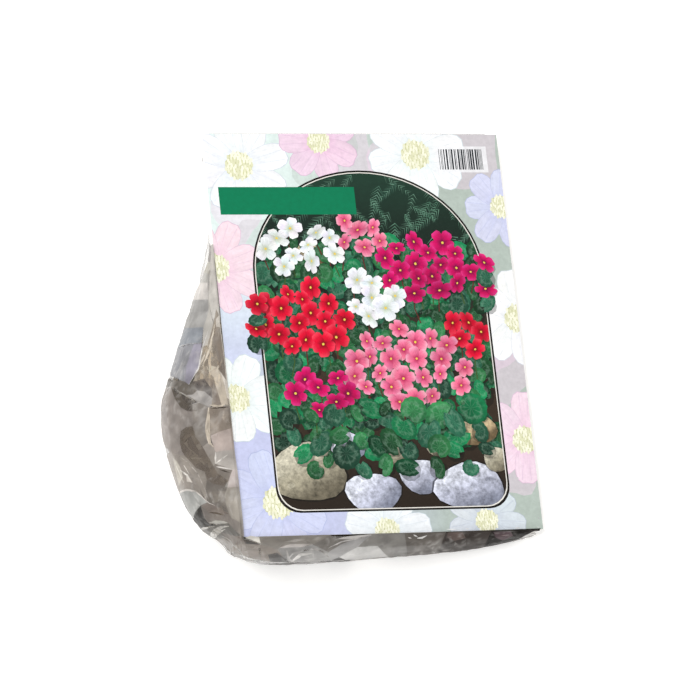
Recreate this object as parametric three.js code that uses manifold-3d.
// A clear film bag of dormant corms in wood shavings, with a printed card inside its front.
// Millimetres, +Z up. The pack lies on its back, with X across the card and Y up the card.
// The origin is the middle of the underside.

import * as THREE from 'three';
import { mergeVertices } from 'three/addons/utils/BufferGeometryUtils.js';
import Module from 'manifold-3d';

const wasm = await Module();
wasm.setup();

// Printed card, which leans on the belly of the bag with its left edge high
const cardWidth = 160;
const cardHeight = 210;
const cardThickness = 0.6;
const cardTilt = THREE.MathUtils.degToRad(19.2);
const cardLowEdge = 3.7;

// Film, drawn thicker than it is, and the clearance between pieces that touch
const filmThickness = 0.8;
const clearance = 0.3;
const filmMargin = 1.5;
const topMargin = 1.5;

// Left flank of the belly: how far it stands out past the card's edge, and its widest line's height
const flankCurve = [
  { y: -106, reach: 9, knee: 19 },
  { y: -91, reach: 23, knee: 22 },
  { y: -65, reach: 32, knee: 25 },
  { y: -29, reach: 35, knee: 31 },
  { y: -4, reach: 27, knee: 34 },
  { y: 15, reach: 18, knee: 41 },
  { y: 46, reach: 4.8, knee: 49 },
  { y: 60, reach: 2.8, knee: 51 },
  { y: 80, reach: 2.4, knee: 55.4 },
  { y: 107, reach: 2.2, knee: 55.6 },
];
const bellyTurn = 22;

// The underside is flat on the table up to slopeStart, and from slopeEnd up it lies behind the card
const slopeStart = 15;
const slopeEnd = 80;
const slabDepth = 2.9;

// Steps of the loft up the card and round one outline
const stations = [96, 86, 76, 66, 56, 46, 36, 26, 15, 4, -8, -19, -30, -42, -54, -66, -78, -90, -99];
const frontSteps = 8;
const flankSteps = 6;
const baseSteps = 8;

// Crumples that push the film of the flank outwards
const crumpleHeight = 1.6;
const crumpleTop = 70;

// Closed bottom end of the bag, a fold that stands out past the card's lower edge
const bottomFold = 7.2;
const foldSteps = 4;
const foldEdgeShare = 0.16;
const foldLowest = 2.2;
const cavityFoldInset = 1.4;

// Folded-over top with its heat seal, on the back of the pack
const flapWidth = 150;
const flapLength = 26;
const flapThickness = 1;
const flapSunk = 0.2;
const sealRibs = 4;
const sealRibPitch = 2.4;
const sealRibWidth = 1;
const sealRibHeight = 0.3;
const sealRibStart = 3;

// Round vent holes in the slope behind the card
const ventDiameter = 6;
const ventDepth = 6;
const ventColumns = [-50, -20, 10];
const ventRows = [46, 64];

// Corms: flattened tubers that lie in the belly, each with its crown turned its own way
const corms = [
  { at: [-73, -10.6, 24.5], across: 48, high: 29, axis: [-0.55, 0.25, 0.78], turn: 0.4, seed: 11 },
  { at: [-75.6, -54, 27], across: 50, high: 28, axis: [0.66, 0.64, 0.3], turn: 1.9, seed: 23 },
  { at: [-44.6, -88.4, 17], across: 42, high: 26, axis: [-0.25, -0.45, 0.86], turn: 3.1, seed: 37 },
  { at: [-27, -34, 16], across: 50, high: 28, axis: [0.22, 0.05, 0.97], turn: 4.4, seed: 41 },
  { at: [-2, -80, 13.6], across: 46, high: 24, axis: [0.2, 0, 0.98], turn: 5.3, seed: 59 },
];
const cormSegments = 22;
const cormRings = 13;
const crownDent = { depth: 3.6, spread: 9.5 };
const rootDent = { depth: 1.8, spread: 11 };
const bud = { count: 5, height: 3, spread: 2.2, near: 3.5, far: 6.5 };

// Wood shavings: a bed whose surface is broken into flakes, with a pocket for each corm
const pocketGap = 0.6;
const bedGap = 0.4;
const bedTop = 60;
const bedToe = 22;
const bedFoldInset = 3.6;
const flakeRelief = 2.2;
const bedSeed = 7;

const tiltCos = Math.cos(cardTilt);
const tiltSin = Math.sin(cardTilt);
const cardCentreZ = cardLowEdge + (cardWidth / 2) * tiltSin;
const leftEdgeX = (-cardWidth / 2) * tiltCos;
const rightEdgeX = (cardWidth / 2) * tiltCos;
const topEndY = cardHeight / 2 + topMargin;
const bottomEndY = -cardHeight / 2 - clearance - filmThickness;
const slabBackN = -slabDepth * tiltCos;

function seededRandom(seed) {
  let state = seed;
  return () => {
    state = (state * 1664525 + 1013904223) % 4294967296;
    return state / 4294967296;
  };
}

// Smooth curve through flankCurve, which gives the reach and the knee at a height up the card
const flank = new THREE.CubicInterpolant(
  flankCurve.map((point) => point.y),
  flankCurve.flatMap((point) => [point.reach, point.knee]),
  2,
);

// Point in the XZ plane from the card's tilted frame: u across it and n out of its face
function onCard(u, n) {
  return new THREE.Vector2(u * tiltCos + n * tiltSin, cardCentreZ - u * tiltSin + n * tiltCos);
}

function cardFaceZ(x) {
  return cardCentreZ - (x * tiltSin) / tiltCos;
}

function undersideZ(x, y) {
  const rise = THREE.MathUtils.smoothstep(y, slopeStart, slopeEnd);
  return rise * Math.max(cardFaceZ(x) - slabDepth, 0);
}

// One outline across X and Z. A skin is set in by inset all round and by frontInset under the
// front, and its right end stops short by toe.
function section(y, { inset, frontInset, toe }) {
  const [reach, knee] = flank.evaluate(y);
  const front = clearance + filmThickness - frontInset;
  const leftCorner = onCard(-cardWidth / 2 - filmMargin + inset * 0.9, front);
  const rightCorner = onCard(cardWidth / 2 + filmMargin - toe - inset * 0.9, front);
  const widest = new THREE.Vector2(leftEdgeX - reach + inset, knee);
  const turn = Math.min(bellyTurn, reach + 10);
  const footX = widest.x + turn;
  const foot = new THREE.Vector2(footX, undersideZ(footX, y) + inset);
  const footSlope = undersideZ(footX - 1, y) - undersideZ(footX, y);
  const shoulder = new THREE.CubicBezierCurve(
    leftCorner,
    new THREE.Vector2(leftCorner.x - reach * 0.42, leftCorner.y - (leftCorner.y - knee) * 0.16),
    new THREE.Vector2(widest.x, knee + (leftCorner.y - knee) * 0.45),
    widest,
  );
  const hip = new THREE.CubicBezierCurve(
    widest,
    new THREE.Vector2(widest.x, knee - (knee - foot.y) * 0.55),
    new THREE.Vector2(foot.x - turn / 2, foot.y + (footSlope * turn) / 2),
    foot,
  );
  const points = [];
  for (let i = 0; i < frontSteps; i += 1) {
    points.push(rightCorner.clone().lerp(leftCorner, i / frontSteps));
  }
  points.push(...shoulder.getPoints(flankSteps).slice(0, -1));
  points.push(...hip.getPoints(flankSteps).slice(0, -1));
  const toeX = rightEdgeX + filmMargin * 0.3 - toe - inset;
  for (let i = 0; i <= baseSteps; i += 1) {
    const x = THREE.MathUtils.lerp(foot.x, toeX, i / baseSteps);
    points.push(new THREE.Vector2(x, undersideZ(x, y) + inset));
  }
  const toeZ = (rightCorner.y + points[points.length - 1].y) / 2;
  points.push(new THREE.Vector2(Math.max(toeX, rightCorner.x) + 0.4, toeZ));
  return points;
}

// Outward push of the film at one point of one ring, the same for both of its faces
function crumple(ringIndex, pointIndex, p) {
  const onFlank = pointIndex > frontSteps && pointIndex < frontSteps + 2 * flankSteps;
  const wave = Math.sin(ringIndex * 12.99 + pointIndex * 78.23) * 437.58;
  const belowTop = 1 - THREE.MathUtils.smoothstep(p.y, crumpleTop - 30, crumpleTop);
  const aboveTable = THREE.MathUtils.smoothstep(p.z, 2, 14);
  return onFlank ? crumpleHeight * belowTop * aboveTable * (wave - Math.floor(wave)) : 0;
}

// Outward normal of a ring at one of its points, across X and Z
function outward(ring, i) {
  const before = ring[(i + ring.length - 1) % ring.length];
  const after = ring[(i + 1) % ring.length];
  return new THREE.Vector3(after.z - before.z, 0, before.x - after.x).normalize();
}

// Rings of a skin from its top end to the fold at its bottom end
function bagRings(top, skin) {
  const bottom = bottomEndY + skin.inset;
  const ys = [top, ...stations.filter((y) => y < top - 2), bottom];
  const rings = ys.map((y) => section(y, skin).map((p) => new THREE.Vector3(p.x, y, p.y)));
  const last = section(bottom, skin);
  const middleX = -3;
  const halfWidth = rightEdgeX + 5;
  for (let step = 1; step <= foldSteps; step += 1) {
    const angle = (step / foldSteps) * (Math.PI / 2);
    const share = Math.max(Math.cos(angle), foldEdgeShare);
    rings.push(last.map((p) => {
      const across = Math.min(Math.abs((p.x - middleX) / halfWidth), 1);
      const standOut = (bottomFold - skin.foldInset) * Math.sqrt(1 - across ** 3);
      const foldZ = Math.max(0.4 * cardFaceZ(p.x) - 4, foldLowest);
      const z = foldZ + (p.y - foldZ) * share;
      return new THREE.Vector3(p.x, bottom - standOut * Math.sin(angle), z);
    }));
  }
  return rings;
}

function crumpled(rings) {
  return rings.map((ring, ringIndex) => ring.map((p, i) => {
    return p.clone().addScaledVector(outward(ring, i), crumple(ringIndex, i, p));
  }));
}

// Closed mesh through a list of rings, with an end at each side
function loft(rings) {
  const count = rings[0].length;
  const positions = rings.flat().flatMap((p) => [p.x, p.y, p.z]);
  const faces = [];
  for (let ring = 0; ring < rings.length - 1; ring += 1) {
    for (let i = 0; i < count; i += 1) {
      const a = ring * count + i;
      const b = ring * count + ((i + 1) % count);
      faces.push(a, b, a + count);
      faces.push(b, b + count, a + count);
    }
  }
  const firstOutline = rings[0].map((p) => new THREE.Vector2(p.x, p.z));
  for (const [a, b, c] of THREE.ShapeUtils.triangulateShape(firstOutline, [])) {
    faces.push(a, c, b);
  }
  const base = (rings.length - 1) * count;
  const lastOutline = rings[rings.length - 1].map((p) => new THREE.Vector2(p.x, p.z));
  for (const [a, b, c] of THREE.ShapeUtils.triangulateShape(lastOutline, [])) {
    faces.push(base + a, base + b, base + c);
  }
  const geometry = new THREE.BufferGeometry();
  geometry.setAttribute('position', new THREE.Float32BufferAttribute(positions, 3));
  geometry.setIndex(faces);
  return geometry;
}

function solidOf(geometry, matrix = new THREE.Matrix4()) {
  const plain = geometry.clone().applyMatrix4(matrix);
  plain.deleteAttribute('normal');
  plain.deleteAttribute('uv');
  const merged = mergeVertices(plain);
  return new wasm.Manifold(new wasm.Mesh({
    numProp: 3,
    vertProperties: new Float32Array(merged.attributes.position.array),
    triVerts: new Uint32Array(merged.index.array),
  }));
}

function geometryOf(solid) {
  const mesh = solid.getMesh();
  const geometry = new THREE.BufferGeometry();
  geometry.setAttribute('position', new THREE.BufferAttribute(mesh.vertProperties, 3));
  geometry.setIndex(new THREE.BufferAttribute(mesh.triVerts, 1));
  geometry.computeVertexNormals();
  return geometry;
}

function largestPiece(solid) {
  return solid.decompose().reduce((best, piece) => (piece.volume() > best.volume() ? piece : best));
}

// Solid box placed by its middle in the card's tilted frame
function boxOnCard(width, height, depth, v, n) {
  const place = new THREE.Matrix4().makeRotationY(cardTilt);
  place.setPosition(0, 0, cardCentreZ);
  place.multiply(new THREE.Matrix4().makeTranslation(0, v, n));
  return solidOf(new THREE.BoxGeometry(width, height, depth), place);
}

// Folded-over top of the film on the back of the pack, with the ribs of its heat seal
function foldedTop() {
  const flapN = slabBackN + flapSunk - flapThickness / 2;
  const lowEnd = topEndY - flapLength;
  let flap = boxOnCard(flapWidth, flapLength, flapThickness, lowEnd + flapLength / 2, flapN);
  for (let rib = 0; rib < sealRibs; rib += 1) {
    const v = lowEnd + sealRibStart + rib * sealRibPitch;
    const ribN = flapN - flapThickness / 2;
    flap = flap.add(boxOnCard(flapWidth - 4, sealRibWidth, 2 * sealRibHeight, v, ribN));
  }
  return flap;
}

// Punch for one vent hole, square to the sloping underside
function ventPunch(x, y) {
  const z = undersideZ(x, y);
  const normal = new THREE.Vector3(z - undersideZ(x + 1, y), z - undersideZ(x, y + 1), 1).normalize();
  const turn = new THREE.Quaternion().setFromUnitVectors(new THREE.Vector3(0, 1, 0), normal);
  const matrix = new THREE.Matrix4().makeRotationFromQuaternion(turn).setPosition(x, y, z);
  return solidOf(new THREE.CylinderGeometry(ventDiameter / 2, ventDiameter / 2, ventDepth, 12), matrix);
}

function bagFilm() {
  const outer = { inset: 0, frontInset: 0, toe: 0, foldInset: 0 };
  const cavity = {
    inset: filmThickness,
    frontInset: filmThickness,
    toe: 0,
    foldInset: cavityFoldInset,
  };
  let bag = solidOf(loft(crumpled(bagRings(topEndY, outer)))).add(foldedTop());
  bag = bag.subtract(solidOf(loft(crumpled(bagRings(topEndY - filmThickness, cavity)))));
  for (const y of ventRows) {
    for (const x of ventColumns) {
      bag = bag.subtract(ventPunch(x, y));
    }
  }
  return geometryOf(bag);
}

// Flattened globe with a dented crown, a few buds on it and a lumpy skin, grown outwards by swell
function cormGeometry(spec, swell) {
  const random = seededRandom(spec.seed);
  const phases = Array.from({ length: 4 }, () => random() * Math.PI * 2);
  const buds = Array.from({ length: bud.count }, (unused, i) => {
    const angle = (i / bud.count) * Math.PI * 2 + random() * 0.7;
    const distance = THREE.MathUtils.lerp(bud.near, bud.far, random());
    return new THREE.Vector2(Math.cos(angle), Math.sin(angle)).multiplyScalar(distance);
  });
  const bump = (distance, spread) => Math.exp(-((distance / spread) ** 2));
  const geometry = new THREE.SphereGeometry(1, cormSegments, cormRings);
  geometry.rotateX(Math.PI / 2);
  const position = geometry.attributes.position;
  const unit = new THREE.Vector3();
  for (let i = 0; i < position.count; i += 1) {
    unit.fromBufferAttribute(position, i);
    const angle = Math.atan2(unit.y, unit.x);
    const side = Math.hypot(unit.x, unit.y);
    const twoLobes = 0.05 * Math.cos(2 * angle + phases[0]);
    const threeLobes = 0.035 * Math.cos(3 * angle + phases[1]);
    const coarse = 0.5 * Math.sin(5 * angle + 4 * unit.z + phases[2]);
    const fine = 0.45 * Math.sin(9 * angle - 7 * unit.z + phases[3]);
    const skin = (coarse + fine) * side;
    const radius = (spec.across / 2 + skin) * (1 + side * (twoLobes + threeLobes));
    const flat = new THREE.Vector2(unit.x, unit.y).multiplyScalar(radius);
    let z = Math.sign(unit.z) * Math.abs(unit.z) ** 0.9 * (spec.high / 2 + skin / 2);
    if (unit.z > 0) {
      z -= crownDent.depth * bump(flat.length(), crownDent.spread);
      z += buds.reduce((sum, at) => sum + bud.height * bump(flat.distanceTo(at), bud.spread), 0);
    } else {
      z += rootDent.depth * bump(flat.length(), rootDent.spread);
    }
    const point = new THREE.Vector3(flat.x, flat.y, z);
    point.addScaledVector(point.clone().normalize(), swell);
    position.setXYZ(i, point.x, point.y, point.z);
  }
  geometry.computeVertexNormals();
  return geometry;
}

function cormMatrix(spec) {
  const up = new THREE.Vector3(0, 0, 1);
  const lean = new THREE.Quaternion().setFromUnitVectors(up, new THREE.Vector3(...spec.axis).normalize());
  const turn = new THREE.Quaternion().setFromAxisAngle(up, spec.turn);
  return new THREE.Matrix4().makeRotationFromQuaternion(lean.multiply(turn)).setPosition(...spec.at);
}

// Bed of shavings: the inside of the bag, set in and roughened, less a pocket for each corm
function shavingsBed() {
  const random = seededRandom(bedSeed);
  const skin = {
    inset: filmThickness + bedGap,
    frontInset: filmThickness + clearance + cardThickness + clearance + bedGap,
    toe: bedToe,
    foldInset: bedFoldInset,
  };
  const rings = bagRings(bedTop, skin);
  const rough = rings.map((ring, ringIndex) => ring.map((p, i) => {
    const room = THREE.MathUtils.smoothstep(cardFaceZ(p.x) - undersideZ(p.x, p.y), 8, 24);
    const onFold = ringIndex >= rings.length - foldSteps;
    const depth = flakeRelief * room * random() * (onFold ? 0.1 : 1);
    return p.clone().addScaledVector(outward(ring, i), -depth);
  }));
  let bed = solidOf(loft(rough));
  for (const spec of corms) {
    bed = bed.subtract(solidOf(cormGeometry(spec, pocketGap), cormMatrix(spec)));
  }
  return geometryOf(largestPiece(bed));
}

function addMesh(parent, name, geometry, settings) {
  const mesh = new THREE.Mesh(geometry, new THREE.MeshStandardMaterial({ metalness: 0, ...settings }));
  mesh.name = name;
  parent.add(mesh);
  return mesh;
}

const pack = new THREE.Group();
const clearFilm = { color: '#cfd0cf', roughness: 0.15, transparent: true, opacity: 0.3 };
addMesh(pack, 'bag_film', bagFilm(), clearFilm);
addMesh(pack, 'wood_shavings', shavingsBed(), { color: '#b59f80', roughness: 0.9 });

corms.forEach((spec, index) => {
  const skin = { color: '#5a4636', roughness: 0.85 };
  const corm = addMesh(pack, `corm_${index + 1}`, cormGeometry(spec, 0), skin);
  corm.applyMatrix4(cormMatrix(spec));
});

const cardFrame = new THREE.Group();
cardFrame.position.z = cardCentreZ;
cardFrame.rotation.y = cardTilt;
pack.add(cardFrame);
const cardGeometry = new THREE.BoxGeometry(cardWidth, cardHeight, cardThickness);
const card = addMesh(cardFrame, 'printed_card', cardGeometry, { color: '#c6cfe4', roughness: 0.35 });
card.position.z = -cardThickness / 2;

// The origin goes to the middle of the underside
const box = new THREE.Box3().setFromObject(pack, true);
const middle = box.getCenter(new THREE.Vector3());
pack.position.set(-middle.x, -middle.y, -box.min.z);
pack.updateMatrixWorld(true);

export default pack;
